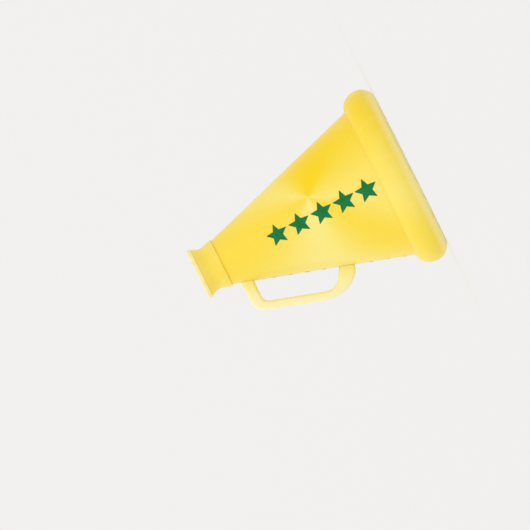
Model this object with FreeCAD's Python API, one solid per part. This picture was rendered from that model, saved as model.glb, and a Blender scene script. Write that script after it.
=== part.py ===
"""Cheer megaphone: a cone rolled from plastic sheet, with a fat soft rim, a mouthpiece and a loop handle.

The megaphone stands on its bell. The origin is the centre of the bell's resting plane, +Z runs along
the axis towards the mouthpiece, and +X points to the handle. Held for use, -Z points forward and +X
down, so +Y is the megaphone's right side. All sizes are in millimetres.
"""

import FreeCAD, Part
import math
import os

# Cone: the outer surface of the sheet is the reference for everything fastened to it.
HALF_ANGLE = math.radians(17.3)
APEX_Z = 468.5
SHEET = 2.0
CONE_TOP_Z = 358.0
SEAM_GAP = 0.6

# Wired edge: the sheet's bell end is curled round a steel hoop.
CURL_START_Z = 23.7
WIRE_R = 2.5
WIRE_CLEARANCE = 0.1
HOOP_GAP = 0.8

# Soft rim over the wired edge.
RIM_OUTER_R = 152.4
RIM_INNER_R = 116.0
RIM_CREST = (124.0, 128.0)
RIM_WIDEST_Z = 25.8
RIM_TOP_Z = 55.3
RIM_TOP_FLAT = (126.0, 128.5)
RIM_INNER_CORNER_Z = 12.0
RIM_WALL = 3.0
FOAM_Z = (9.0, 18.0, 44.0)
FOAM_CLEARANCE = (0.5, 3.0, 2.0)

# Mouthpiece cup, its soft lip and the ring that backs its rivets.
CUP_BOTTOM_Z = 342.0
CUP_WALL = 2.5
THROAT_R = 32.0
THROAT_TOP_Z = 370.0
CUP_EDGE_R = (37.5, 40.5)
CUP_EDGE_Z = 378.0
CUP_TOP_Z = 382.0
CUP_WAIST = (36.3, 365.0)
CUP_CHAMFER = 1.0
CUP_EASE = 4.0
LIP_R = (35.7, 42.9)
LIP_TOP_Z = 385.5
LIP_ROUNDING = 3.0
LIP_BOTTOM_Z = 378.6
THROAT_RING = 1.5
THROAT_RING_BOTTOM_Z = 343.0
MOUTH_RIVET_Z = 349.5
MOUTH_RIVETS = 4

# Butt seam under the handle, closed by a strip inside and two rows of rivets.
STRIP = 2.0
STRIP_HALF_WIDTH = 14.0
STRIP_Z = (58.0, 341.0)
SEAM_RIVET_Y = 8.0
SEAM_RIVET_Z = (72.0, 98.0, 124.0, 198.0, 224.0, 250.0, 276.0)
RIVET_HEAD_R = 3.4
RIVET_SHANK_R = 1.6
RIVET_DOME = 0.7
RIVET_SET_R = (1.5, 2.5, 2.9)
RIVET_SET = (0.9, 0.7)

# Handle: a moulded loop in two halves that meet on the XZ plane.
GRIP_OFFSET = (35.0, 49.5)
HANDLE_WIDTH = 26.0
HANDLE_ROUNDING = 6.4
HANDLE_WALL = 2.6
FRONT_LEG_Z = 150.2
FRONT_SLOPE_START = (106.4, 150.2)
FRONT_SLOPE_END = (129.4, 171.7)
FRONT_BENDS = (24.0, 45.0, 83.0)
GRIP_FRONT_Z = (193.2, 206.5)
INNER_BENDS = (24.0, 12.0)
FRONT_LEG_ROOT = (70.0, 163.0)
REAR_LEG_Z = (308.0, 328.0)
REAR_LEG_ROOT = 30.0
REAR_BEND = 24.0
FOOT_FLOOR = 3.5
GASKET = 1.0
PARTING_GROOVE = (0.25, 0.5)

# Handle fasteners.
PLATE = 2.0
PLATE_HALF_WIDTH = 13.0
FOOT_SCREW_Y = 7.0
FOOT_SCREW_Z = {"front": 162.0, "rear": 317.0}
PLATE_Z = {"front": (146.0, 178.0), "rear": (303.0, 330.5)}
FOOT_SCREW_R = 1.8
FOOT_SCREW_REACH = 14.0
FOOT_HOLE_END = 15.0
FOOT_BOSS_R = 4.2
FOOT_BOSS_END = 17.0
STACK = 12.0
WASHER_R = 4.5
WASHER = 0.8
CURVE_GAP = 0.3
SCREW_HEAD = (3.5, 2.3)
CROSS_SCREW_R = 1.3
CROSS_SCREW_HEAD = (2.7, 1.9)
CROSS_BOSS_R = 3.6
CROSS_SCREW_TIP_Y = 8.5
CROSS_HEAD_Y = -9.0
CROWN_R_SHARE = 0.9
CROWN_EDGE_SHARE = 0.29
RECESS_SHARE = 0.55
RECESS_SLOT_SHARE = 0.13
CROSS_HEAD_CLEARANCE = 0.3
CROSS_SCREW_PLACES = ((111.5, 173.0), (81.5, 317.5))
GRIP_SCREW_Z = 240.0

# Vinyl stars, a row on each side.
STARS = 5
STAR_R = (19.0, 20.5)
STAR_Z = (240.5, 80.0)
STAR_WAIST = 0.46
DECAL = 0.25

SINE = math.sin(HALF_ANGLE)
COSINE = math.cos(HALF_ANGLE)
TANGENT = math.tan(HALF_ANGLE)
QUARTER = 0.5523
FAR = 400.0
TOUCH = 1e-4
ORIGIN = FreeCAD.Vector(0, 0, 0)
X_AXIS = FreeCAD.Vector(1, 0, 0)
Y_AXIS = FreeCAD.Vector(0, 1, 0)
Z_AXIS = FreeCAD.Vector(0, 0, 1)


# ---------------------------------------------------------------- geometry helpers

def radius(z, offset=0.0):
    """Radius at height z of the cone's outer surface, moved outwards by offset along its normal."""
    return TANGENT * (APEX_Z - z) + offset / COSINE


def above(z, offset):
    """The point (x, z) that stands offset off the cone's outer surface, over its point at height z."""
    return (radius(z) + offset * COSINE, z + offset * SINE)


def slide(point, distance):
    """A point moved along the cone's side, towards the mouthpiece."""
    return (point[0] - distance * SINE, point[1] + distance * COSINE)


def outline(start, *steps):
    """A face in the XZ plane from (x, z) points.

    A step of one point is a line, of two points is an arc (through, end), and of three is a cubic
    curve (pole, pole, end). The last step closes the outline with a line where it has to.
    """
    edges = []
    here = start
    for step in list(steps) + [(start,)]:
        points = [FreeCAD.Vector(x, 0, z) for x, z in (here,) + tuple(step)]
        if points[0].distanceToPoint(points[-1]) < TOUCH:
            continue
        if len(points) == 2:
            edges.append(Part.LineSegment(*points).toShape())
        elif len(points) == 3:
            edges.append(Part.Arc(*points).toShape())
        else:
            curve = Part.BezierCurve()
            curve.setPoles(points)
            edges.append(curve.toShape())
        here = step[-1]
    return Part.Face(Part.Wire(edges))


def bent_outline(corners):
    """A face in the XZ plane from (x, z, bend radius) corners."""
    points = [FreeCAD.Vector(x, 0, z) for x, z, bend in corners]
    bends = []
    for i, (x, z, bend) in enumerate(corners):
        back = (points[i - 1] - points[i]).normalize()
        onward = (points[(i + 1) % len(points)] - points[i]).normalize()
        half_turn = back.getAngle(onward) / 2
        reach = bend / math.tan(half_turn)
        middle = (back + onward).normalize() * bend * (1 / math.sin(half_turn) - 1)
        bends.append((points[i] + back * reach, points[i] + middle, points[i] + onward * reach))
    edges = []
    for before, here, corner in zip(bends[-1:] + bends, bends, corners):
        edges.append(Part.LineSegment(before[2], here[0]).toShape())
        if corner[2]:
            edges.append(Part.Arc(*here).toShape())
    return Part.Face(Part.Wire(edges))


def quarter(start, end, leave_along_x):
    """A cubic step for a quarter of an ellipse from start to end."""
    dx = (end[0] - start[0]) * QUARTER
    dz = (end[1] - start[1]) * QUARTER
    if leave_along_x:
        return ((start[0] + dx, start[1]), (end[0], end[1] - dz), end)
    return ((start[0], start[1] + dz), (end[0] - dx, end[1]), end)


def dome(r, z, height):
    """An arc step from (r, z) up to the axis, centred on the axis."""
    sphere = (r * r + height * height) / (2 * height)
    turn = math.asin(r / sphere) / 2
    centre = z + height - sphere
    return ((sphere * math.sin(turn), centre + sphere * math.cos(turn)), (0, z + height))


def ring(face):
    """The face turned about the megaphone's axis."""
    return face.revolve(ORIGIN, Z_AXIS, 360)


def layer(inner, outer, low_z, high_z):
    """A conical shell between two offsets from the cone's outer surface."""
    return ring(outline(
        (radius(low_z, inner), low_z),
        ((radius(low_z, outer), low_z),),
        ((radius(high_z, outer), high_z),),
        ((radius(high_z, inner), high_z),),
    ))


def box(x, y, z):
    """A box from (low, high) pairs."""
    size = [high - low for low, high in (x, y, z)]
    return Part.makeBox(*size, FreeCAD.Vector(x[0], y[0], z[0]))


def on_cone(shape, z, azimuth):
    """A shape built about +Z, set on the cone's outer surface with its +Z along the outward normal."""
    flat = FreeCAD.Vector(math.cos(azimuth), math.sin(azimuth), 0)
    normal = flat * COSINE + Z_AXIS * SINE
    placed = shape.copy()
    placed.Placement = FreeCAD.Placement(
        flat * radius(z) + Z_AXIS * z, FreeCAD.Rotation(Z_AXIS, normal)
    )
    return placed


def rod(r, low, high):
    """A round bar along +Z."""
    return Part.makeCylinder(r, high - low, Z_AXIS * low)


def cut_all(shape, tools):
    """The shape with every tool cut away."""
    return shape.cut(Part.makeCompound(tools)) if tools else shape


# ---------------------------------------------------------------- fasteners

def rivet(grip):
    """A domed rivet: z = 0 is the outer surface, and the set end is grip below it."""
    set_z = -grip - CURVE_GAP / 2
    flat_r, edge_r, set_r = RIVET_SET_R
    height, edge_height = RIVET_SET
    return ring(outline(
        (0, set_z - height),
        ((flat_r, set_z - height),),
        ((edge_r, set_z - edge_height), (set_r, set_z)),
        ((RIVET_SHANK_R, set_z),),
        ((RIVET_SHANK_R, 0),),
        ((RIVET_HEAD_R, 0),),
        dome(RIVET_HEAD_R, 0, RIVET_DOME),
    ))


def pan_screw(head, shank_r, seat_z, tip_z):
    """A pan-head screw with a cross recess: its head lies below seat_z, and its point is at tip_z."""
    head_r, head_h = head
    crown_z = seat_z - head_h
    recess = head_r * RECESS_SHARE
    edge = head_h * CROWN_EDGE_SHARE
    body = ring(outline(
        (0, crown_z),
        ((recess, crown_z),),
        ((head_r * CROWN_R_SHARE, crown_z + edge), (head_r, seat_z - edge)),
        ((head_r, seat_z),),
        ((shank_r, seat_z),),
        ((shank_r, tip_z - shank_r),),
        ((0, tip_z),),
    ))
    slot = head_r * RECESS_SLOT_SHARE
    depth = (crown_z - head_h, crown_z + head_h * RECESS_SHARE)
    cross = [
        box((-recess, recess), (-slot, slot), depth),
        box((-slot, slot), (-recess, recess), depth),
    ]
    return cut_all(body, cross)


def foot_screw_places(foot):
    """(z, azimuth) of the two screws that hold one foot of the handle."""
    z = FOOT_SCREW_Z[foot]
    turn = math.asin(FOOT_SCREW_Y / radius(z))
    return [(z, turn), (z, -turn)]


def seam_rivet_places():
    """(z, azimuth) of the rivets along both sides of the seam."""
    places = []
    for z in SEAM_RIVET_Z:
        turn = math.asin(SEAM_RIVET_Y / radius(z))
        places += [(z, turn), (z, -turn)]
    return places


def mouth_rivet_places():
    """(z, azimuth) of the rivets round the mouthpiece, clear of the seam."""
    step = 2 * math.pi / MOUTH_RIVETS
    return [(MOUTH_RIVET_Z, step * (i + 0.5)) for i in range(MOUTH_RIVETS)]


def at_places(shape, places):
    """Copies of a shape at places on the cone."""
    return [on_cone(shape, z, azimuth) for z, azimuth in places]


def sheet_holes():
    """The holes that go through the rolled sheet and whatever lies on it."""
    rivet_hole = rod(RIVET_SHANK_R, -STACK, STACK)
    screw_hole = rod(FOOT_SCREW_R, -STACK, FOOT_HOLE_END)
    screws = foot_screw_places("front") + foot_screw_places("rear")
    return at_places(rivet_hole, seam_rivet_places() + mouth_rivet_places()) + at_places(
        screw_hole, screws
    )


def foot_holes(foot):
    """The holes for the two screws of one foot."""
    hole = rod(FOOT_SCREW_R, -STACK, FOOT_HOLE_END)
    return at_places(hole, foot_screw_places(foot))


# ---------------------------------------------------------------- cone and seam

def curl_centre():
    """Centre of the hoop in the XZ plane."""
    return above(CURL_START_Z, WIRE_R + WIRE_CLEARANCE)


def from_curl(distance, turn):
    """A point at this distance from the hoop's centre; turn 0 faces the sheet, and 90 the bell."""
    x, z = curl_centre()
    angle = math.radians(turn)
    towards_sheet = (-COSINE, -SINE)
    towards_bell = (SINE, -COSINE)
    return (
        x + distance * (towards_sheet[0] * math.cos(angle) + towards_bell[0] * math.sin(angle)),
        z + distance * (towards_sheet[1] * math.cos(angle) + towards_bell[1] * math.sin(angle)),
    )


def cone_shell():
    """The rolled sheet, with its curled bell end, seam gap and rivet holes."""
    inside = WIRE_R + WIRE_CLEARANCE
    outside = inside + SHEET
    section = outline(
        (radius(CONE_TOP_Z, -SHEET), CONE_TOP_Z),
        ((radius(CONE_TOP_Z), CONE_TOP_Z),),
        (from_curl(inside, 0),),
        (from_curl(inside, 135), from_curl(inside, 270)),
        (from_curl(outside, 270),),
        (from_curl(outside, 135), from_curl(outside, 0)),
    )
    seam = box((0, FAR), (-SEAM_GAP / 2, SEAM_GAP / 2), (0, FAR))
    return cut_all(ring(section), [seam] + sheet_holes())


def bell_hoop():
    """The steel wire hoop inside the curl, butted opposite the seam."""
    x, z = curl_centre()
    hoop = Part.makeTorus(x, WIRE_R, FreeCAD.Vector(0, 0, z))
    return hoop.cut(box((-FAR, 0), (-HOOP_GAP / 2, HOOP_GAP / 2), (0, FAR)))


def seam_strip():
    """The backing strip inside the seam."""
    strip = layer(-SHEET - STRIP, -SHEET, *STRIP_Z)
    side = (-STRIP_HALF_WIDTH, STRIP_HALF_WIDTH)
    return cut_all(strip.common(box((0, FAR), side, (0, FAR))), sheet_holes())


def seam_rivets():
    """Two rows of rivets through the sheet and the strip."""
    return Part.makeCompound(at_places(rivet(SHEET + STRIP), seam_rivet_places()))


# ---------------------------------------------------------------- rim

def rim_section(inset):
    """The rim's fat rounded section, drawn in by inset."""
    outer = RIM_OUTER_R - inset
    inner = RIM_INNER_R + inset
    top = RIM_TOP_Z - inset
    inner_low = (inner, RIM_INNER_CORNER_Z)
    inner_high = (inner, RIM_TOP_Z - RIM_INNER_CORNER_Z)
    widest = (outer, RIM_WIDEST_Z)
    return outline(
        (RIM_CREST[0], inset),
        ((RIM_CREST[1], inset),),
        quarter((RIM_CREST[1], inset), widest, True),
        quarter(widest, (RIM_TOP_FLAT[1], top), False),
        ((RIM_TOP_FLAT[0], top),),
        quarter((RIM_TOP_FLAT[0], top), inner_high, True),
        (inner_low,),
        quarter(inner_low, (RIM_CREST[0], inset), False),
    )


def bell_rim():
    """The soft rim: a hollow moulding with a slot that grips the sheet behind its curl."""
    slot = layer(-SHEET, 0, RIM_TOP_Z - 2 * RIM_WALL, RIM_TOP_Z + RIM_WALL)
    return ring(rim_section(0)).cut(ring(rim_section(RIM_WALL))).cut(slot)


def rim_foam_core():
    """The foam ring that fills the rim's inner pocket."""
    low, shoulder, high = FOAM_Z
    inner = RIM_INNER_R + RIM_WALL + FOAM_CLEARANCE[0]
    wide = radius(shoulder, -SHEET) - FOAM_CLEARANCE[1]
    narrow = radius(high, -SHEET) - FOAM_CLEARANCE[2]
    return ring(outline(
        (inner, low), ((wide, low),), ((wide, shoulder),), ((narrow, high),), ((inner, high),)
    ))


# ---------------------------------------------------------------- mouthpiece

def mouthpiece_cup():
    """The cup: a sleeve over the cone's small end, a straight throat and a flared edge."""
    sleeve_top = (radius(CONE_TOP_Z, CUP_WALL), CONE_TOP_Z)
    edge_in, edge_out = CUP_EDGE_R
    waist_r, waist_z = CUP_WAIST
    section = outline(
        (radius(CUP_BOTTOM_Z), CUP_BOTTOM_Z),
        ((radius(CUP_BOTTOM_Z, CUP_WALL - CUP_CHAMFER), CUP_BOTTOM_Z),),
        ((radius(CUP_BOTTOM_Z + CUP_CHAMFER, CUP_WALL), CUP_BOTTOM_Z + CUP_CHAMFER),),
        (sleeve_top,),
        (slide(sleeve_top, CUP_EASE), (waist_r, waist_z - CUP_EASE), CUP_WAIST),
        ((waist_r, waist_z + CUP_EASE), (edge_out, CUP_EDGE_Z - CUP_EASE), (edge_out, CUP_EDGE_Z)),
        ((edge_out, CUP_TOP_Z),),
        ((edge_in, CUP_TOP_Z),),
        ((edge_in, CUP_EDGE_Z),),
        ((edge_in, CUP_EDGE_Z - CUP_EASE), (THROAT_R, THROAT_TOP_Z + CUP_EASE), (THROAT_R, THROAT_TOP_Z)),
        ((THROAT_R, CONE_TOP_Z),),
        ((radius(CONE_TOP_Z), CONE_TOP_Z),),
    )
    return cut_all(ring(section), sheet_holes())


def mouthpiece_lip():
    """The soft lip: a rounded ring with a groove that takes the cup's edge."""
    inner, outer = LIP_R
    middle = (inner + outer) / 2
    shoulder = LIP_TOP_Z - LIP_ROUNDING
    groove_in, groove_out = CUP_EDGE_R
    return ring(outline(
        (inner, LIP_BOTTOM_Z),
        ((groove_in, LIP_BOTTOM_Z),),
        ((groove_in, CUP_TOP_Z),),
        ((groove_out, CUP_TOP_Z),),
        ((groove_out, LIP_BOTTOM_Z),),
        ((outer, LIP_BOTTOM_Z),),
        ((outer, shoulder),),
        quarter((outer, shoulder), (middle, LIP_TOP_Z), False),
        quarter((middle, LIP_TOP_Z), (inner, shoulder), True),
    ))


def throat_ring():
    """The ring inside the cone's small end that backs the mouthpiece's rivets."""
    backing = layer(-SHEET - THROAT_RING, -SHEET, THROAT_RING_BOTTOM_Z, CONE_TOP_Z)
    return cut_all(backing, sheet_holes())


def mouthpiece_rivets():
    """Rivets through the cup's sleeve, the sheet and the throat ring."""
    body = rivet(CUP_WALL + SHEET + THROAT_RING)
    body.translate(Z_AXIS * CUP_WALL)
    return Part.makeCompound([
        on_cone(Part.makeCompound([body]), z, azimuth) for z, azimuth in mouth_rivet_places()
    ])


# ---------------------------------------------------------------- handle

def handle_face():
    """The loop's side outline: two legs that run into the cone, and a grip parallel to its side."""
    low, high = GRIP_OFFSET
    inner_front, outer_front = GRIP_FRONT_Z
    rear_in, rear_out = REAR_LEG_Z
    return bent_outline([
        (FRONT_LEG_ROOT[0], FRONT_LEG_Z, 0),
        (*FRONT_SLOPE_START, FRONT_BENDS[0]),
        (*FRONT_SLOPE_END, FRONT_BENDS[1]),
        (radius(outer_front, high), outer_front, FRONT_BENDS[2]),
        (radius(rear_out, high), rear_out, REAR_BEND),
        (REAR_LEG_ROOT, rear_out, 0),
        (REAR_LEG_ROOT, rear_in, 0),
        (radius(rear_in, low), rear_in, INNER_BENDS[1]),
        (radius(inner_front, low), inner_front, INNER_BENDS[0]),
        (*FRONT_LEG_ROOT, 0),
    ])


def handle_body(inset):
    """The whole handle as a rounded solid, drawn in by inset on every side."""
    face = handle_face()
    if inset:
        face = face.makeOffset2D(-inset)
    half = HANDLE_WIDTH / 2 - inset
    solid = face.extrude(Y_AXIS * 2 * half)
    solid.translate(Y_AXIS * -half)
    long_edges = [e for e in solid.Edges if e.BoundBox.YLength < TOUCH]
    return solid.makeFillet(HANDLE_ROUNDING - inset, long_edges)


def outside_cone(offset):
    """A block of everything outside the cone's surface moved out by offset."""
    core = Part.makeCone(radius(0, offset), radius(CONE_TOP_Z, offset), CONE_TOP_Z)
    return box((0, FAR), (-FAR / 2, FAR / 2), (0, CONE_TOP_Z)).cut(core)


def cross_screw_places():
    """(x, z) of the three screws that pull the handle's halves together."""
    middle = (GRIP_OFFSET[0] + GRIP_OFFSET[1]) / 2
    return [*CROSS_SCREW_PLACES, above(GRIP_SCREW_Z, middle)]


def along_y(shape, x, z):
    """A shape built about +Z, turned to +Y through (x, z)."""
    placed = shape.copy()
    placed.Placement = FreeCAD.Placement(
        FreeCAD.Vector(x, 0, z), FreeCAD.Rotation(Z_AXIS, Y_AXIS)
    )
    return placed


def handle_half(side):
    """One hollow half of the handle: side is +1 for the right (+Y) half and -1 for the left."""
    body = handle_body(0).common(outside_cone(GASKET))
    hollow = handle_body(HANDLE_WALL).common(outside_cone(GASKET + FOOT_FLOOR))
    feet = foot_screw_places("front") + foot_screw_places("rear")
    bosses = at_places(rod(FOOT_BOSS_R, 0, FOOT_BOSS_END), feet)
    bosses += [
        along_y(rod(CROSS_BOSS_R, -HANDLE_WIDTH, HANDLE_WIDTH), x, z)
        for x, z in cross_screw_places()
    ]
    hollow = cut_all(hollow, bosses)
    groove_y, groove_depth = PARTING_GROOVE
    slab = box((0, FAR), (-groove_y, groove_y), (0, FAR)).cut(handle_body(groove_depth))
    holes = foot_holes("front") + foot_holes("rear")
    head_r = CROSS_SCREW_HEAD[0] + CROSS_HEAD_CLEARANCE
    hole_end = CROSS_SCREW_TIP_Y + CROSS_HEAD_CLEARANCE
    for x, z in cross_screw_places():
        holes.append(along_y(rod(CROSS_SCREW_R, -HANDLE_WIDTH, hole_end), x, z))
        holes.append(along_y(rod(head_r, -HANDLE_WIDTH, CROSS_HEAD_Y), x, z))
    low, high = sorted((0, side * FAR / 2))
    shell = cut_all(body.cut(hollow), holes + [slab])
    return shell.common(box((0, FAR), (low, high), (0, FAR)))


def handle_screws():
    """Three screws from the left half into the right one."""
    screw = pan_screw(CROSS_SCREW_HEAD, CROSS_SCREW_R, CROSS_HEAD_Y, CROSS_SCREW_TIP_Y)
    return Part.makeCompound([along_y(screw, x, z) for x, z in cross_screw_places()])


def foot_zone(foot):
    """A block round one foot, to keep it apart from the other."""
    z = (0, GRIP_SCREW_Z) if foot == "front" else (GRIP_SCREW_Z, FAR)
    return box((0, FAR), (-FAR / 2, FAR / 2), z)


def foot_gasket(foot):
    """The thin pad between a foot of the handle and the cone."""
    pad = handle_body(0).common(layer(0, GASKET, 0, CONE_TOP_Z)).common(foot_zone(foot))
    return cut_all(pad, foot_holes(foot))


def backing_plate(foot):
    """The curved plate inside the cone that spreads a foot's load over the seam strip."""
    back = -SHEET - STRIP
    plate = layer(back - PLATE, back, *PLATE_Z[foot])
    side = (-PLATE_HALF_WIDTH, PLATE_HALF_WIDTH)
    return cut_all(plate.common(box((0, FAR), side, (0, FAR))), foot_holes(foot))


def foot_washers(foot):
    """A washer under each screw head inside the cone."""
    top = -SHEET - STRIP - PLATE - CURVE_GAP
    washer = rod(WASHER_R, top - WASHER, top).cut(rod(FOOT_SCREW_R, -FAR, FAR))
    return Part.makeCompound(at_places(washer, foot_screw_places(foot)))


def foot_screws(foot):
    """Two screws from inside the cone up into a foot of the handle."""
    seat = -SHEET - STRIP - PLATE - CURVE_GAP - WASHER
    screw = pan_screw(SCREW_HEAD, FOOT_SCREW_R, seat, FOOT_SCREW_REACH)
    return Part.makeCompound(at_places(screw, foot_screw_places(foot)))


# ---------------------------------------------------------------- stars

def star_decal(index, side):
    """One vinyl star on the cone: index 0 is nearest the mouthpiece, and side is +1 or -1."""
    share = index / (STARS - 1)
    middle = STAR_Z[0] + (STAR_Z[1] - STAR_Z[0]) * share
    size = STAR_R[0] + (STAR_R[1] - STAR_R[0]) * share
    corners = []
    for i in range(10):
        reach = size if i % 2 == 0 else size * STAR_WAIST
        turn = math.pi * i / 5
        corners.append((-reach * math.cos(turn), middle + reach * math.sin(turn)))
    face = outline(corners[0], *[(c,) for c in corners[1:]])
    return face.extrude(Y_AXIS * side * FAR / 2).common(layer(0, DECAL, 0, CONE_TOP_Z))


# ---------------------------------------------------------------- export

def nodes():
    """Every node's name and shape."""
    made = {
        "cone_shell": cone_shell(),
        "seam_strip": seam_strip(),
        "seam_rivets": seam_rivets(),
        "bell_hoop": bell_hoop(),
        "bell_rim": bell_rim(),
        "rim_foam_core": rim_foam_core(),
        "mouthpiece_cup": mouthpiece_cup(),
        "mouthpiece_lip": mouthpiece_lip(),
        "throat_ring": throat_ring(),
        "mouthpiece_rivets": mouthpiece_rivets(),
        "handle_right_half": handle_half(1),
        "handle_left_half": handle_half(-1),
        "handle_screws": handle_screws(),
    }
    for foot in ("front", "rear"):
        made[foot + "_foot_gasket"] = foot_gasket(foot)
        made[foot + "_backing_plate"] = backing_plate(foot)
        made[foot + "_foot_washers"] = foot_washers(foot)
        made[foot + "_foot_screws"] = foot_screws(foot)
    for name, side in (("right", 1), ("left", -1)):
        for index in range(STARS):
            made[f"star_{name}_{index + 1}"] = star_decal(index, side)
    return made


def main():
    """Writes one STEP file for each node."""
    os.makedirs("parts", exist_ok=True)
    for name, shape in nodes().items():
        solids = shape.Solids
        print(f"{name}: {len(solids)} solids, {sum(s.Volume for s in solids) / 1000:.2f} cm3,",
              "valid" if shape.isValid() and solids else "NOT VALID")
        Part.makeCompound(solids).exportStep(os.path.join("parts", name + ".step"))


main()
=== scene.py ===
"""A yellow cheer megaphone: its looks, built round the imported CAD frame.

Metres throughout, in the frame's axes: the bell's resting plane is z = 0, +Z runs to the mouthpiece
and +X points to the handle.
"""

import math

import bmesh
import bpy
from mathutils import Matrix, Vector, noise


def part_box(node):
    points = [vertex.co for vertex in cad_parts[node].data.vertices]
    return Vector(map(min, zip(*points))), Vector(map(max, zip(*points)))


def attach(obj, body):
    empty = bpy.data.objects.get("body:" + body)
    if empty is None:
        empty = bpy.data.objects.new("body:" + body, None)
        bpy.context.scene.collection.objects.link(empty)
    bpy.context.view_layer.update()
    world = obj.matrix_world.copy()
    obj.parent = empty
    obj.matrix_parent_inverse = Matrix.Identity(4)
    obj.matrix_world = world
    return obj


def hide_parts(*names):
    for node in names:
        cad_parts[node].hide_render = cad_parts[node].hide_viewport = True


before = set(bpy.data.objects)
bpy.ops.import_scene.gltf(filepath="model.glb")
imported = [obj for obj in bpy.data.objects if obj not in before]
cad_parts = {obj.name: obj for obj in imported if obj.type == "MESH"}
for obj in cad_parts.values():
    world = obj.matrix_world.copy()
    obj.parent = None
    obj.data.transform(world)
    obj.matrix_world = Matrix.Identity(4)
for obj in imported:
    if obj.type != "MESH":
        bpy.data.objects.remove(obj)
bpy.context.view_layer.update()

BODY = "root"

# The cone, as in the CAD model.
HALF_ANGLE = math.radians(17.3)
APEX_Z = 0.4685
SHEET = 0.002
SEAM_GAP = 0.0006
CURL_START_Z = 0.0237
CURL_IN = 0.0026
CURL_OUT = 0.0046
RIM_WIDEST_Z = 0.0258
SLOPE = math.tan(HALF_ANGLE)
OUTWARD = Vector((math.cos(HALF_ANGLE), math.sin(HALF_ANGLE)))
ALONG = Vector((-math.sin(HALF_ANGLE), math.cos(HALF_ANGLE)))

TURN_STEPS = 288
SHARP = math.radians(38)
EASE_SEGMENTS = 3


# ---------------------------------------------------------------- shared geometry

def radius(z, offset=0.0):
    """Radius at height z of the cone's outer surface, moved outwards by offset along its normal."""
    return SLOPE * (APEX_Z - z) + offset / math.cos(HALF_ANGLE)


def above(z, offset):
    """The (r, z) point that stands offset off the cone's surface, over its point at height z."""
    return Vector((radius(z), z)) + OUTWARD * offset


def line(start, end, steps):
    """Points from start up to, but not including, end."""
    return [Vector(start).lerp(Vector(end), i / steps) for i in range(steps)]


def quarter(start, end, leave_along_r, steps=12):
    """Points on a quarter of an ellipse from start up to, but not including, end."""
    start, end = Vector(start), Vector(end)
    points = []
    for i in range(steps):
        turn = math.pi / 2 * i / steps
        first, second = math.sin(turn), 1 - math.cos(turn)
        share = (first, second) if leave_along_r else (second, first)
        points.append(start + Vector(((end - start).x * share[0], (end - start).y * share[1])))
    return points


def cubic(start, first, second, end, steps=14):
    """Points on a cubic curve from start up to, but not including, end."""
    start, first, second, end = (Vector(p) for p in (start, first, second, end))
    points = []
    for i in range(steps):
        t = i / steps
        u = 1 - t
        points.append(start * u ** 3 + first * 3 * u * u * t
                      + second * 3 * u * t * t + end * t ** 3)
    return points


def rounded(corners, rounding, steps):
    """Points round a closed outline whose corners are all rounded by the same radius."""
    points = []
    for i, corner in enumerate(corners):
        here = Vector(corner)
        back = (Vector(corners[i - 1]) - here).normalized()
        onward = (Vector(corners[(i + 1) % len(corners)]) - here).normalized()
        half = back.angle(onward) / 2
        middle = (back + onward).normalized()
        centre = here + middle * rounding / math.sin(half)
        first = (back / math.tan(half) - middle / math.sin(half)).normalized()
        last = (onward / math.tan(half) - middle / math.sin(half)).normalized()
        points += [centre + first.slerp(last, k / steps) * rounding for k in range(steps + 1)]
    return points


def make(name, vertices, faces, material, slot, *nodes, ease=0.0):
    """A smooth piece that rides on the body and stands for CAD nodes. Ease rounds its edges."""
    mesh = bpy.data.meshes.new(name)
    mesh.from_pydata([tuple(v) for v in vertices], [], faces)
    mesh.validate()
    piece = bpy.data.objects.new(name, mesh)
    bpy.context.scene.collection.objects.link(piece)
    face_outwards(mesh)
    if ease:
        bevel = piece.modifiers.new("ease", "BEVEL")
        bevel.width = ease
        bevel.segments = EASE_SEGMENTS
        bevel.angle_limit = SHARP
    smooth(piece)
    mesh.materials.append(material)
    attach(piece, BODY)
    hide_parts(*nodes)


def face_outwards(mesh):
    """Turns every face of a closed mesh outwards."""
    work = bmesh.new()
    work.from_mesh(mesh)
    bmesh.ops.recalc_face_normals(work, faces=work.faces)
    work.to_mesh(mesh)
    work.free()


def smooth(piece):
    """Smooth shading, with the real edges kept crisp."""
    for polygon in piece.data.polygons:
        polygon.use_smooth = True
    piece.data.set_sharp_from_angle(angle=SHARP)
    weighted = piece.modifiers.new("weighted", "WEIGHTED_NORMAL")
    weighted.keep_sharp = True


def lathe(name, profile, material, slot, *nodes, gap=0.0, relief=None, ease=0.0):
    """A closed (r, z) profile turned round the axis, with an open seam at +X if it has a gap.

    relief(azimuth, z) is how far the surface stands off its nominal radius.
    """
    count = len(profile)
    steps = TURN_STEPS
    columns = steps + 1 if gap else steps
    vertices = []
    for k in range(columns):
        for r, z in profile:
            start = math.asin(gap / 2 / r) if gap else 0
            azimuth = start + (math.tau - 2 * start) * k / steps
            reach = r + (relief(azimuth, z) if relief else 0)
            vertices.append((reach * math.cos(azimuth), reach * math.sin(azimuth), z))
    faces = []
    for k in range(steps):
        here, there = k * count, (k + 1) % columns * count
        for i in range(count):
            j = (i + 1) % count
            faces.append((here + i, here + j, there + j, there + i))
    if gap:
        faces.append(tuple(range(count)))
        faces.append(tuple(reversed(range(steps * count, columns * count))))
    make(name, vertices, faces, material, slot, *nodes, ease=ease)


# ---------------------------------------------------------------- node trees

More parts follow.
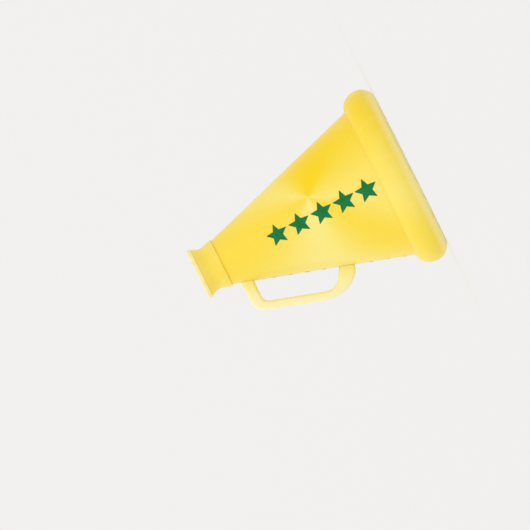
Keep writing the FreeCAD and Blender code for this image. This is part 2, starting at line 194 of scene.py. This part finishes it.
class Graph:
    """A node tree, built up one node at a time."""

    def __init__(self, tree, coordinates):
        self.tree = tree
        self.place = self.add("ShaderNodeTexCoord").outputs[coordinates]

    def add(self, kind, **settings):
        """A new node with these settings."""
        node = self.tree.nodes.new(kind)
        for key, value in settings.items():
            setattr(node, key, value)
        return node

    def put(self, value, socket):
        """Links a socket, or sets a plain value."""
        if isinstance(value, bpy.types.NodeSocket):
            self.tree.links.new(value, socket)
        else:
            socket.default_value = value

    def math(self, operation, *values, clamp=False):
        """A Math node's result."""
        node = self.add("ShaderNodeMath", operation=operation, use_clamp=clamp)
        for value, socket in zip(values, node.inputs):
            self.put(value, socket)
        return node.outputs[0]

    def plus(self, first, second):
        """The sum of two values."""
        return self.math("ADD", first, second)

    def minus(self, first, second):
        """The first value less the second."""
        return self.math("SUBTRACT", first, second)

    def times(self, first, second):
        """The product of two values."""
        return self.math("MULTIPLY", first, second)

    def remap(self, value, low, high, to_low=0.0, to_high=1.0):
        """The value moved smoothly from one range to another."""
        node = self.add("ShaderNodeMapRange", interpolation_type="SMOOTHSTEP")
        for given, socket in zip((value, low, high, to_low, to_high), node.inputs):
            self.put(given, socket)
        return node.outputs[0]

    def mix(self, share, first, second):
        """Two colours mixed by share."""
        node = self.add("ShaderNodeMix", data_type="RGBA")
        sockets = (node.inputs[0], node.inputs[6], node.inputs[7])
        for value, socket in zip((share, first, second), sockets):
            self.put(value, socket)
        return node.outputs[2]

    def drawn_out(self, scale, turn=0.0, place=None):
        """A place turned about its third axis, then drawn out by its own amount along each axis."""
        node = self.add("ShaderNodeMapping", vector_type="TEXTURE")
        self.put(place or self.place, node.inputs["Vector"])
        self.put((0, 0, turn), node.inputs["Rotation"])
        self.put(scale, node.inputs["Scale"])
        return node.outputs[0]

    def unrolled(self):
        """The surface's place unrolled round the axis: along the turn, then up."""
        x, y, z = self.xyz()
        node = self.add("ShaderNodeCombineXYZ")
        self.put(self.times(self.math("ARCTAN2", y, x), UNROLL_R), node.inputs[0])
        self.put(z, node.inputs[1])
        return node.outputs[0]

    def noise(self, scale, detail=3.0, roughness=0.5, place=None):
        """Fractal noise from 0 to 1."""
        node = self.add("ShaderNodeTexNoise")
        self.put(place or self.place, node.inputs["Vector"])
        self.put(scale, node.inputs["Scale"])
        self.put(detail, node.inputs["Detail"])
        self.put(roughness, node.inputs["Roughness"])
        return node.outputs[0]

    def xyz(self):
        """The surface's place as three numbers."""
        node = self.add("ShaderNodeSeparateXYZ")
        self.put(self.place, node.inputs[0])
        return node.outputs

    def bump(self, height, strength, distance, under=None):
        """A bump, on top of another if one is given."""
        node = self.add("ShaderNodeBump")
        self.put(strength, node.inputs["Strength"])
        self.put(distance, node.inputs["Distance"])
        self.put(height, node.inputs["Height"])
        if under:
            self.put(under, node.inputs["Normal"])
        return node.outputs[0]


class Shader(Graph):
    """A material: its nodes, and the surface that they end in."""

    def __init__(self, name):
        self.material = bpy.data.materials.new(name)
        self.material.use_nodes = True
        self.surface = self.material.node_tree.nodes["Principled BSDF"]
        super().__init__(self.material.node_tree, "Object")

    def finish(self, **sockets):
        """Fills the surface's sockets, named with underscores, and returns the material."""
        for name, value in sockets.items():
            self.put(value, self.surface.inputs[name.replace("_", " ")])
        return self.material


def srgb(red, green, blue):
    """A display colour from 0 to 255 as linear light."""
    def linear(value):
        share = value / 255
        return share / 12.92 if share <= 0.04045 else ((share + 0.055) / 1.055) ** 2.4
    return (linear(red), linear(green), linear(blue), 1.0)


# ---------------------------------------------------------------- colours and textures

# DEEP_GOLD and PALE_GOLD are the shaded and lit ends of the painted sheen fan.
DEEP_GOLD = srgb(248, 213, 0)
PALE_GOLD = srgb(248, 234, 136)
CREAM = srgb(252, 242, 176)
# Painted light: the cream that the rim is paled to towards its crest.
PAINTED_CREST_LIGHT = srgb(255, 247, 182)
HANDLE_ROOT = srgb(250, 235, 132)
HANDLE_GRIP = srgb(252, 241, 180)
SCUFF = srgb(222, 205, 150)
GREEN = srgb(0, 121, 62)
DARK_GREEN = srgb(0, 108, 52)
SCRATCHED_GREEN = srgb(90, 160, 110)

# A painted sheen fans out round a point on the cone's side, pale and deep gold standing in for
# light.
# The stops go round the point from the bell, past the handle: (share of a turn, paleness).
SHEEN_CENTRE_X = -0.0324
SHEEN_CENTRE_Z = 0.1704
SHEEN_CENTRE_MIN_REACH = 0.004
PAINTED_SHEEN_STOPS = (
    (0.0, 0.45), (0.07, 0.62), (0.14, 0.22), (0.2, 0.5), (0.26, 0.9), (0.34, 0.7), (0.47, 0.22),
    (0.58, 0.66), (0.66, 0.35), (0.74, 0.1), (0.82, 0.0), (0.9, 0.08), (1.0, 0.45),
)

# Fine streaks along the painted sheen fan, the pigment's broad clouds, and its single pale and deep
# flakes.
STREAK_STRETCH = 4.0
STREAK_SCALE = 26.0
CLOUD_SCALE = 9.0
CLOUD_SHARE = 0.1
FLAKE_SCALE = 2200.0
FLAKE_START = 0.8
PALE_FLAKE = 0.16
DEEP_FLAKE = 0.12

# Hair scratches run in a few directions over the surface unrolled round the axis.
UNROLL_R = 0.1
SCRATCH_LENGTH = 18.0
SCRATCH_TURNS = (0.35, -0.8, 1.9)
PATCH_SCALE = 21.0
PATCH_EDGE = (0.56, 0.68)

# How far up the rim its scuffs and its painted light along the crest reach, and how far knocks
# spread either side of its widest line.
SCUFF_TOP_Z = 0.006
PAINTED_CREST_LIGHT_Z = (-0.002, 0.019)
KNOCK_REACH = (0.002, 0.011)
# How far off the cone the handle's colour has changed from its root's to its grip's.
GRIP_REACH = 0.034


def painted_sheen_fan(shader, streaks):
    """The pearl yellow's colour: a painted sheen, a soft fan of gold round a point on the cone's
    side, with its fine streaks.
    """
    x, _, z = shader.xyz()
    across = shader.minus(x, SHEEN_CENTRE_X)
    along = shader.minus(SHEEN_CENTRE_Z, z)
    turn = shader.math("DIVIDE", shader.math("ARCTAN2", across, along), math.tau)
    ramp = shader.add("ShaderNodeValToRGB")
    ramp.color_ramp.interpolation = "CARDINAL"
    stops = ramp.color_ramp.elements
    for place, paleness in PAINTED_SHEEN_STOPS[1:-1]:
        stops.new(place)
    for stop, (place, paleness) in zip(stops, PAINTED_SHEEN_STOPS):
        stop.position = place
        stop.color = (paleness, paleness, paleness, 1)
    shader.put(shader.math("FRACT", turn), ramp.inputs[0])
    squares = shader.plus(shader.math("POWER", across, 2), shader.math("POWER", along, 2))
    reach = shader.math("SQRT", squares)
    near = shader.math("MAXIMUM", reach, SHEEN_CENTRE_MIN_REACH)
    flow = shader.add("ShaderNodeCombineXYZ")
    shader.put(shader.math("DIVIDE", across, near), flow.inputs[0])
    shader.put(shader.math("DIVIDE", along, near), flow.inputs[1])
    shader.put(shader.times(reach, STREAK_STRETCH), flow.inputs[2])
    fine = shader.noise(STREAK_SCALE, detail=4.0, roughness=0.6, place=flow.outputs[0])
    drift = shader.times(shader.minus(fine, 0.5), streaks)
    cloud = shader.times(shader.minus(shader.noise(CLOUD_SCALE, detail=2.0), 0.5), CLOUD_SHARE)
    paleness = shader.plus(shader.plus(ramp.outputs[0], drift), cloud)
    paleness = shader.math("ADD", paleness, flecks(shader), clamp=True)
    return shader.mix(paleness, DEEP_GOLD, PALE_GOLD), fine


def flecks(shader):
    """The pearl pigment's fine flakes: a few pale and a few deep specks about zero."""
    flakes = shader.add("ShaderNodeTexVoronoi")
    shader.put(shader.place, flakes.inputs["Vector"])
    shader.put(FLAKE_SCALE, flakes.inputs["Scale"])
    glint = shader.add("ShaderNodeSeparateColor")
    shader.put(flakes.outputs["Color"], glint.inputs[0])
    pale = shader.remap(glint.outputs[0], FLAKE_START, 1.0, 0.0, PALE_FLAKE)
    deep = shader.remap(glint.outputs[1], FLAKE_START, 1.0, 0.0, DEEP_FLAKE)
    return shader.minus(pale, deep)


def scratches(shader, scale, width):
    """Hair scratches, nearly straight, that come in patches: 1 on a scratch and 0 off it."""
    flat = shader.unrolled()
    lines = 0.0
    for turn in SCRATCH_TURNS:
        drawn = shader.drawn_out((1, SCRATCH_LENGTH, 1), turn, flat)
        grain = shader.noise(scale, detail=1.0, roughness=0.4, place=drawn)
        off_line = shader.math("ABSOLUTE", shader.minus(grain, 0.5))
        lines = shader.math("MAXIMUM", shader.remap(off_line, 0.0, width, 1.0, 0.0), lines)
    patches = shader.remap(shader.noise(PATCH_SCALE, detail=3.0, roughness=0.6), *PATCH_EDGE)
    return shader.times(lines, patches)


def blotches(shader, scale, low, high, detail=4.0):
    """Cloudy noise that wanders between low and high."""
    return shader.remap(shader.noise(scale, detail=detail), 0.3, 0.7, low, high)


# ---------------------------------------------------------------- materials

def sheet_plastic():
    """The cone's calendered sheet: satin, in a painted sheen fan, with a faint orange peel and a
    few hair scratches.
    """
    s = Shader("pearl_sheet")
    colour, fine = painted_sheen_fan(s, streaks=0.16)
    hair = scratches(s, scale=46.0, width=0.006)
    colour = s.mix(s.times(hair, 0.12), colour, CREAM)
    rough = s.plus(blotches(s, 60.0, 0.3, 0.4), s.times(hair, 0.12))
    peel = s.bump(s.noise(420.0, detail=2.0), strength=0.3, distance=0.0003)
    grain = s.bump(fine, strength=0.12, distance=0.0003, under=peel)
    cut = s.bump(hair, strength=0.3, distance=-0.0001, under=grain)
    return s.finish(
        Base_Color=colour, Roughness=rough, Normal=cut, Specular_IOR_Level=0.18,
        Sheen_Weight=0.4, Sheen_Roughness=0.3, Sheen_Tint=CREAM,
        Coat_Weight=0.1, Coat_Roughness=0.22,
    )


def rim_vinyl():
    """The soft rim: the same pearl and painted sheen, a finer grain, painted light towards its
    crest, and scuffs where it stands on the floor.
    """
    s = Shader("rim_vinyl")
    colour, _ = painted_sheen_fan(s, streaks=0.1)
    z = s.xyz()[2]
    rubbed = s.remap(s.noise(45.0, detail=5.0, roughness=0.7), 0.42, 0.62)
    worn = s.times(s.remap(z, 0.0, SCUFF_TOP_Z, 1.0, 0.0), rubbed)
    hair = scratches(s, scale=40.0, width=0.007)
    off_widest = s.math("ABSOLUTE", s.minus(z, RIM_WIDEST_Z))
    widest = s.remap(off_widest, *KNOCK_REACH, 1.0, 0.0)
    chips = s.remap(s.noise(120.0, detail=6.0, roughness=0.75), 0.58, 0.66)
    knocked = s.times(widest, chips)
    # Painted light: the colour pales down towards the crest, lifting the shade where the rim meets
    # the floor.
    colour = s.mix(s.remap(z, *PAINTED_CREST_LIGHT_Z, 1.0, 0.0), colour, PAINTED_CREST_LIGHT)
    colour = s.mix(s.times(worn, 0.5), colour, SCUFF)
    colour = s.mix(s.times(knocked, 0.25), colour, CREAM)
    colour = s.mix(s.times(hair, 0.16), colour, CREAM)
    dulled = s.times(s.math("MAXIMUM", worn, knocked), 0.25)
    rough = s.plus(blotches(s, 70.0, 0.36, 0.46), dulled)
    pebble = s.bump(s.noise(800.0, detail=3.0, roughness=0.6), strength=0.45, distance=0.00025)
    swell = s.bump(s.noise(38.0, detail=2.0), strength=0.2, distance=0.001, under=pebble)
    torn = s.times(worn, s.noise(600.0, detail=4.0))
    scuffed = s.bump(torn, strength=0.6, distance=0.0003, under=swell)
    return s.finish(
        Base_Color=colour, Roughness=rough, Normal=scuffed, Specular_IOR_Level=0.18,
        Sheen_Weight=0.3, Sheen_Roughness=0.3, Sheen_Tint=CREAM,
        Coat_Weight=0.07, Coat_Roughness=0.3,
    )


def moulded_plastic(name, first, second, grain=1.0):
    """A hard moulded plastic in two close shades, with a fine spark-eroded grain."""
    s = Shader(name)
    hair = scratches(s, scale=60.0, width=0.008)
    colour = s.mix(blotches(s, 22.0, 0.0, 1.0, detail=3.0), first, second)
    colour = s.mix(s.times(hair, 0.2), colour, CREAM)
    rough = s.plus(blotches(s, 90.0, 0.34, 0.44), s.times(hair, 0.15))
    spark_grain = s.noise(1100.0, detail=3.0, roughness=0.6)
    spark = s.bump(spark_grain, strength=0.45 * grain, distance=0.0002)
    swell = s.bump(s.noise(55.0, detail=2.0), strength=0.15, distance=0.0006, under=spark)
    return s.finish(
        Base_Color=colour, Roughness=rough, Normal=swell, Specular_IOR_Level=0.22,
        Sheen_Weight=0.3, Sheen_Roughness=0.35, Sheen_Tint=CREAM,
        Coat_Weight=0.1, Coat_Roughness=0.25,
    )


def handle_plastic():
    """The handle's plastic: deeper yellow at its roots, paler and smoother towards the grip."""
    s = Shader("handle_plastic")
    x, _, z = s.xyz()
    off_cone = s.minus(x, s.times(s.minus(APEX_Z, z), SLOPE))
    grip_share = s.remap(off_cone, 0.0, GRIP_REACH)
    cloud = s.times(s.minus(s.noise(24.0, detail=3.0), 0.5), 0.35)
    hair = scratches(s, scale=60.0, width=0.008)
    colour = s.mix(s.math("ADD", grip_share, cloud, clamp=True), HANDLE_ROOT, HANDLE_GRIP)
    colour = s.mix(s.times(hair, 0.25), colour, SCUFF)
    rough = s.minus(blotches(s, 90.0, 0.36, 0.46), s.times(grip_share, 0.08))
    spark = s.bump(s.noise(1000.0, detail=3.0, roughness=0.6), strength=0.45, distance=0.0002)
    swell = s.bump(s.noise(55.0, detail=2.0), strength=0.15, distance=0.0006, under=spark)
    return s.finish(
        Base_Color=colour, Roughness=rough, Normal=swell, Specular_IOR_Level=0.3,
        Sheen_Weight=0.25, Sheen_Roughness=0.4, Sheen_Tint=CREAM,
        Coat_Weight=0.12, Coat_Roughness=0.25,
    )


def star_vinyl():
    """Cut green vinyl, with a slight leathery film texture."""
    s = Shader("star_vinyl")
    colour = s.mix(blotches(s, 80.0, 0.0, 1.0, detail=3.0), GREEN, DARK_GREEN)
    hair = scratches(s, scale=90.0, width=0.01)
    colour = s.mix(s.times(hair, 0.2), colour, SCRATCHED_GREEN)
    rough = blotches(s, 160.0, 0.32, 0.46)
    film = s.bump(s.noise(700.0, detail=3.0), strength=0.4, distance=0.00015)
    bubbles = s.bump(s.noise(140.0, detail=1.0), strength=0.25, distance=0.0004, under=film)
    return s.finish(
        Base_Color=colour, Roughness=rough, Normal=bubbles, Specular_IOR_Level=0.14,
        Coat_Weight=0.06, Coat_Roughness=0.2,
    )


def soft_rubber(name, first, second):
    """Matte rubber with a fine tooth."""
    s = Shader(name)
    colour = s.mix(blotches(s, 70.0, 0.0, 1.0), first, second)
    rough = blotches(s, 120.0, 0.6, 0.78)
    tooth = s.bump(s.noise(1200.0, detail=3.0, roughness=0.7), strength=0.5, distance=0.0002)
    return s.finish(
        Base_Color=colour, Roughness=rough, Normal=tooth, Specular_IOR_Level=0.3,
        Sheen_Weight=0.2, Sheen_Roughness=0.5, Sheen_Tint=CREAM,
    )


def metal(name, first, second, rough_low, rough_high, stretch=(1, 1, 1)):
    """Bare or plated metal with a brushed or tumbled grain."""
    s = Shader(name)
    grain = s.noise(900.0, detail=4.0, roughness=0.7, place=s.drawn_out(stretch))
    colour = s.mix(blotches(s, 140.0, 0.0, 1.0), first, second)
    rough = s.remap(grain, 0.25, 0.75, rough_low, rough_high)
    brushed = s.bump(grain, strength=0.2, distance=0.00005)
    return s.finish(Base_Color=colour, Roughness=rough, Normal=brushed, Metallic=1.0)


BRUSH_STROKE = (1, 16, 1)

SHEET_YELLOW = sheet_plastic()
RIM_YELLOW = rim_vinyl()
CUP_YELLOW = moulded_plastic("cup_plastic", srgb(249, 224, 100), srgb(249, 219, 78))
HANDLE_PALE = handle_plastic()
STAR_GREEN = star_vinyl()
LIP_CREAM = soft_rubber("lip_rubber", srgb(250, 238, 168), srgb(245, 230, 150))
GASKET_CREAM = soft_rubber("gasket_rubber", srgb(250, 233, 142), srgb(246, 226, 128))
ENAMEL = moulded_plastic("rivet_enamel", srgb(249, 228, 112), srgb(249, 222, 90), grain=0.4)
ZINC = metal("zinc_steel", srgb(196, 198, 200), srgb(176, 178, 178), 0.28, 0.45)
BRUSHED = metal(
    "brushed_plate", srgb(205, 206, 206), srgb(188, 189, 190), 0.3, 0.45, BRUSH_STROKE
)
FOAM = soft_rubber("foam", srgb(226, 222, 206), srgb(206, 202, 186))


# ---------------------------------------------------------------- cone

# How deep and how wide, in radians, the sheet lies flat at its seam, and the size of its waves.
SEAM_FLAT = 0.0003
SEAM_FLAT_TURN = 0.22
WAVE = 0.00012
WAVES_ROUND = 1.6
WAVES_UP = 9

CURL_TURN = math.radians(270)
CURL_STEPS = 20
SIDE_STEPS = 72
TOP_EASE = 0.0005
TOP_EASE_SHARE = 0.25


def sheet_relief(azimuth, z):
    """How a rolled sheet wanders inwards: long soft waves, and the flat along its seam."""
    away = min(azimuth, math.tau - azimuth)
    flat = SEAM_FLAT * math.exp(-(away / SEAM_FLAT_TURN) ** 2)
    place = Vector((math.cos(azimuth) * WAVES_ROUND, math.sin(azimuth) * WAVES_ROUND, z * WAVES_UP))
    return -flat - WAVE * (1 + noise.noise(place))


def curl(distance):
    """Points round the bell-end curl, which turns outwards from the sheet."""
    centre = above(CURL_START_Z, CURL_IN)
    points = []
    for i in range(CURL_STEPS + 1):
        turn = CURL_TURN * i / CURL_STEPS
        out, along = OUTWARD * distance * math.cos(turn), ALONG * distance * math.sin(turn)
        points.append(centre - out - along)
    return points


def build_cone():
    """The rolled sheet with its curled bell end and open seam."""
    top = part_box("cone_shell")[1].z
    top_out = Vector((radius(top), top))
    top_in = Vector((radius(top, -SHEET), top))
    below_out = top_out - ALONG * TOP_EASE
    below_in = top_in - ALONG * TOP_EASE
    profile = line(below_out, above(CURL_START_Z, 0), SIDE_STEPS)
    profile += curl(CURL_IN) + curl(CURL_OUT)[::-1]
    profile += line(above(CURL_START_Z, -SHEET), below_in, SIDE_STEPS)[1:]
    step = (top_out - top_in) * TOP_EASE_SHARE
    profile += [below_in, top_in + step, top_out - step]
    lathe("rolled_cone", profile, SHEET_YELLOW, "cone_plastic", "cone_shell",
          gap=SEAM_GAP, relief=sheet_relief)


# ---------------------------------------------------------------- rim

RIM_CREST = (0.124, 0.128)
RIM_INNER_R = 0.116
RIM_INNER_CORNER_Z = 0.012
RIM_TOP_FLAT = (0.126, 0.1285)
RIM_WALL = 0.003
SLOT_CLEAR = 0.0012
RIM_EASE = 0.0005


def rim_loop(inset):
    """Points round the rim's fat section, from the crest outwards, drawn in by inset."""
    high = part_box("bell_rim")[1]
    crest_in, crest_out = (Vector((r, inset)) for r in RIM_CREST)
    widest = Vector((high.x - inset, RIM_WIDEST_Z))
    flat_in, flat_out = (Vector((r, high.z - inset)) for r in RIM_TOP_FLAT)
    inner_high = Vector((RIM_INNER_R + inset, high.z - RIM_INNER_CORNER_Z))
    inner_low = Vector((RIM_INNER_R + inset, RIM_INNER_CORNER_Z))
    points = line(crest_in, crest_out, 2)
    points += quarter(crest_out, widest, True, steps=18)
    points += quarter(widest, flat_out, False, steps=22)
    points += line(flat_out, flat_in, 2)
    points += quarter(flat_in, inner_high, True)
    points += line(inner_high, inner_low, 12)
    points += quarter(inner_low, crest_in, False)
    return points


def opened(loop, slot_in, slot_out):
    """The loop's points from past the slot's inner corner round to short of its outer corner."""
    level = slot_out.y - SLOT_CLEAR
    start = next(i for i, p in enumerate(loop) if p.y > level and p.x < slot_out.x + SLOT_CLEAR)
    end = next(i for i, p in enumerate(loop) if i >= start and p.x < slot_in.x - SLOT_CLEAR)
    return loop[end:] + loop[:start]


def build_rim():
    """The hollow rim: its skin, the slot's two walls that grip the sheet, and the pocket inside."""
    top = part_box("bell_rim")[1].z
    deep = top - RIM_WALL
    mouth_in, mouth_out = (Vector((radius(top, offset), top)) for offset in (-SHEET, 0))
    deep_in, deep_out = (Vector((radius(deep, offset), deep)) for offset in (-SHEET, 0))
    skin = opened(rim_loop(0.0), mouth_in, mouth_out)
    pocket = opened(rim_loop(RIM_WALL), deep_in, deep_out)
    profile = [mouth_in] + skin + [mouth_out, deep_out] + pocket[::-1] + [deep_in]
    lathe("soft_rim", profile, RIM_YELLOW, "rim_vinyl", "bell_rim", ease=RIM_EASE)


# ---------------------------------------------------------------- mouthpiece

CUP_WALL = 0.0025
CUP_CHAMFER = 0.001
CUP_WAIST = Vector((0.0363, 0.365))
CUP_EDGE_R = (0.0375, 0.0405)
CUP_EDGE_Z = 0.378
CUP_BEND = Vector((0, 0.004))
CUP_EASE = 0.0004
THROAT_TOP = Vector((0.032, 0.370))
LIP_INNER_R = 0.0357
LIP_ROUNDING = 0.003
LIP_EASE = 0.0006


def build_cup():
    """The moulded cup: a sleeve over the cone's small end, a throat and a flared edge."""
    low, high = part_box("mouthpiece_cup")
    cone_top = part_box("cone_shell")[1].z
    edge_in, edge_out = CUP_EDGE_R
    foot = low.z + CUP_CHAMFER
    sleeve_top = Vector((radius(cone_top, CUP_WALL), cone_top))
    flare_out = Vector((edge_out, CUP_EDGE_Z))
    flare_in = Vector((edge_in, CUP_EDGE_Z))
    sleeve_bend = ALONG * CUP_BEND.y
    chamfer_r = radius(low.z, CUP_WALL - CUP_CHAMFER)
    profile = [Vector((radius(low.z), low.z)), Vector((chamfer_r, low.z))]
    profile += line((radius(foot, CUP_WALL), foot), sleeve_top, 6)
    profile += cubic(sleeve_top, sleeve_top + sleeve_bend, CUP_WAIST - CUP_BEND, CUP_WAIST)
    profile += cubic(CUP_WAIST, CUP_WAIST + CUP_BEND, flare_out - CUP_BEND, flare_out)
    profile += [flare_out, Vector((edge_out, high.z)), Vector((edge_in, high.z))]
    profile += cubic(flare_in, flare_in - CUP_BEND, THROAT_TOP + CUP_BEND, THROAT_TOP)
    profile += line(THROAT_TOP, (THROAT_TOP.x, cone_top), 4)
    profile += [Vector((THROAT_TOP.x, cone_top)), Vector((radius(cone_top), cone_top))]
    lathe("moulded_cup", profile, CUP_YELLOW, "mouthpiece_plastic", "mouthpiece_cup",
          ease=CUP_EASE)


def build_lip():
    """The soft lip: a rounded ring that grips the cup's edge in its groove."""
    low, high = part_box("mouthpiece_lip")
    inner, outer = LIP_INNER_R, high.x
    middle = (inner + outer) / 2
    shoulder = high.z - LIP_ROUNDING
    groove_in, groove_out = CUP_EDGE_R
    groove_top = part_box("mouthpiece_cup")[1].z
    profile = [Vector((inner, low.z)), Vector((groove_in, low.z)), Vector((groove_in, groove_top))]
    profile += [Vector((groove_out, groove_top)), Vector((groove_out, low.z))]
    profile += line((outer, low.z), (outer, shoulder), 3)
    profile += quarter((outer, shoulder), (middle, high.z), False)
    profile += quarter((middle, high.z), (inner, shoulder), True)
    profile += [Vector((inner, shoulder))]
    lathe("soft_lip", profile, LIP_CREAM, "lip_rubber", "mouthpiece_lip", ease=LIP_EASE)


# ---------------------------------------------------------------- stars

STARS_ON_A_SIDE = 5
STAR_POINTS = 5
STAR_WAIST = 0.46
STAR_ROUNDING = 0.0005
STAR_CORNER_STEPS = 3
STAR_EDGE_STEPS = 6
STAR_RINGS = 8

# How far a star's face stands off the cone, how wide its soft edge is, and where its root lies.
DECAL = 0.00025
DECAL_EDGE = 0.00012
DECAL_ROOT = -0.0004


def on_side(x, z, side, offset):
    """The point (x, z) moved across to the cone's side, offset off its surface."""
    return Vector((x, side * math.sqrt(radius(z, offset) ** 2 - x * x), z))


def star_outline(size):
    """Points round a flat star on its side, with rounded points and finely divided edges."""
    corners = []
    for i in range(STAR_POINTS * 2):
        reach = size if i % 2 == 0 else size * STAR_WAIST
        turn = math.pi * i / STAR_POINTS
        corners.append((-reach * math.cos(turn), reach * math.sin(turn)))
    points = rounded(corners, STAR_ROUNDING, STAR_CORNER_STEPS)
    fine = []
    for here, there in zip(points, points[1:] + points[:1]):
        steps = STAR_EDGE_STEPS if (there - here).length > 2 * STAR_ROUNDING else 1
        fine += line(here, there, steps)
    return fine


def build_star(node, side):
    """A cut vinyl star laid over the cone, with a soft cut edge."""
    low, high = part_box(node)
    middle = (low.z + high.z) / 2
    size = -low.x
    flat = star_outline(size)
    count = len(flat)
    top = [(1 - DECAL_EDGE / size) * (1 - i / STAR_RINGS) for i in range(STAR_RINGS)]
    rings = [(1.0, DECAL_ROOT), (1.0, DECAL - DECAL_EDGE)] + [(share, DECAL) for share in top]
    vertices = [on_side(p.x * share, middle + p.y * share, side, offset)
                for share, offset in rings for p in flat]
    faces = []
    for i in range(len(rings) - 1):
        for k in range(count):
            j = (k + 1) % count
            here, there = i * count, (i + 1) * count
            faces.append((here + k, here + j, there + j, there + k))
    hub, root = len(vertices), len(vertices) + 1
    vertices += [on_side(0, middle, side, DECAL), on_side(0, middle, side, DECAL_ROOT)]
    last = (len(rings) - 1) * count
    for k in range(count):
        j = (k + 1) % count
        faces += [(last + k, last + j, hub), (j, k, root)]
    make("cut_" + node, vertices, faces, STAR_GREEN, "star_vinyl", node)


# ---------------------------------------------------------------- fasteners

WELD = 2e-6
FASTENERS = {
    "seam_rivets": (ENAMEL, "rivet_metal"), "mouthpiece_rivets": (ENAMEL, "rivet_metal"),
    "handle_screws": (ZINC, "steel"), "front_foot_screws": (ZINC, "steel"),
    "rear_foot_screws": (ZINC, "steel"),
}


def build_fasteners(node, material, slot):
    """The node's rivets or screws, each welded into one closed skin with a clean tip."""
    work = bmesh.new()
    work.from_mesh(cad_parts[node].data)
    bmesh.ops.remove_doubles(work, verts=work.verts, dist=WELD)
    bmesh.ops.dissolve_degenerate(work, edges=work.edges, dist=WELD)
    work.verts.index_update()
    vertices = [vertex.co.copy() for vertex in work.verts]
    faces = [[vertex.index for vertex in face.verts] for face in work.faces]
    work.free()
    make("welded_" + node, vertices, faces, material, slot, node)


for node, (material, slot) in FASTENERS.items():
    build_fasteners(node, material, slot)
build_cone()
build_rim()
build_cup()
build_lip()
for star in range(1, STARS_ON_A_SIDE + 1):
    build_star(f"star_right_{star}", 1)
    build_star(f"star_left_{star}", -1)


# ---------------------------------------------------------------- CAD nodes that stay

KEPT = {
    "seam_strip": SHEET_YELLOW, "bell_hoop": ZINC, "rim_foam_core": FOAM, "throat_ring": CUP_YELLOW,
    "handle_right_half": HANDLE_PALE, "handle_left_half": HANDLE_PALE,
    "front_foot_gasket": GASKET_CREAM, "rear_foot_gasket": GASKET_CREAM,
    "front_backing_plate": BRUSHED, "rear_backing_plate": BRUSHED,
    "front_foot_washers": ZINC, "rear_foot_washers": ZINC,
}
for name, material in KEPT.items():
    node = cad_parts[name]
    node.data.materials.clear()
    node.data.materials.append(material)


# ---------------------------------------------------------------- stage, light and camera

FLOOR_SIZE = 80.0
FLOOR_DROP = 0.0002
FLOOR_GLOW = 0.5
FLOOR_SHADES = (srgb(168, 168, 168), srgb(170, 170, 170))

# The surround: how bright it is at the horizon, how much brighter overhead, and its soft lamps, as
# (direction, sharpness, brightness).
STUDIO_WHITE = srgb(255, 254, 252)
HORIZON = 0.88
OVERHEAD = 0.14
LAMPS = (
    ((-0.02, 0.90, 0.42), 5.0, 0.43),
    ((-0.40, 0.75, 0.53), 60.0, 1.1),
    ((0.65, -0.55, 0.52), 6.0, 0.48),
)
LAMP_FADE = 0.35

# The camera's lens and sensor in millimetres, and the width and middle of what it sees in metres.
LENS = 1400.0
SENSOR = 36.0
VIEW_WIDTH = 0.8586
VIEW_CENTRE = (0.0347, 0.2807)
ROLL = math.radians(26.57)


def stage():
    """A plain pale floor, lit softly from within as a light table is, and clear from below."""
    size = FLOOR_SIZE
    corners = [(-size, -size), (size, -size), (size, size), (-size, size)]
    mesh = bpy.data.meshes.new("floor")
    mesh.from_pydata([(x, y, -FLOOR_DROP) for x, y in corners], [], [(0, 1, 2, 3)])
    floor = bpy.data.objects.new("floor", mesh)
    bpy.context.scene.collection.objects.link(floor)
    s = Shader("floor_paint")
    paint = s.finish(
        Base_Color=s.mix(s.noise(3.0, detail=2.0), *FLOOR_SHADES), Roughness=0.9,
        Specular_IOR_Level=0.0, Emission_Color=STUDIO_WHITE,
        Emission_Strength=HORIZON * FLOOR_GLOW,
    )
    see_through = s.add("ShaderNodeMixShader")
    s.put(s.add("ShaderNodeNewGeometry").outputs["Backfacing"], see_through.inputs[0])
    s.put(s.surface.outputs[0], see_through.inputs[1])
    s.put(s.add("ShaderNodeBsdfTransparent").outputs[0], see_through.inputs[2])
    s.put(see_through.outputs[0], s.tree.nodes["Material Output"].inputs["Surface"])
    mesh.materials.append(paint)


def lighting():
    """Plain soft studio light: an even pale surround, brighter overhead, with broad soft lamps."""
    world = bpy.data.worlds.new("surround")
    world.use_nodes = True
    bpy.context.scene.world = world
    g = Graph(world.node_tree, "Generated")
    height = g.math("MAXIMUM", g.xyz()[2], 0.0)
    risen = g.remap(height, 0.0, LAMP_FADE)
    light = g.plus(g.times(height, OVERHEAD), HORIZON)
    for direction, sharpness, brightness in LAMPS:
        facing = g.add("ShaderNodeVectorMath", operation="DOT_PRODUCT")
        g.put(g.place, facing.inputs[0])
        g.put(Vector(direction).normalized(), facing.inputs[1])
        lobe = g.math("POWER", g.math("MAXIMUM", facing.outputs["Value"], 0.0), sharpness)
        light = g.plus(light, g.times(g.times(lobe, risen), brightness))
    background = world.node_tree.nodes["Background"]
    background.inputs["Color"].default_value = STUDIO_WHITE
    g.put(light, background.inputs["Strength"])


def camera():
    """A very long lens square to the side, rolled so that the bell points up and to the right."""
    data = bpy.data.cameras.new("camera")
    data.lens = LENS
    data.sensor_width = SENSOR
    data.clip_end = FLOOR_SIZE * 2
    view = bpy.data.objects.new("camera", data)
    bpy.context.scene.collection.objects.link(view)
    right = Vector((math.sin(ROLL), 0, -math.cos(ROLL)))
    up = Vector((-math.cos(ROLL), 0, -math.sin(ROLL)))
    turned = Matrix((right, up, right.cross(up))).transposed().to_4x4()
    away = VIEW_WIDTH * LENS / SENSOR
    view.matrix_world = Matrix.Translation((VIEW_CENTRE[0], away, VIEW_CENTRE[1])) @ turned
    bpy.context.scene.camera = view


stage()
lighting()
camera()
bpy.context.scene.view_settings.view_transform = "Standard"
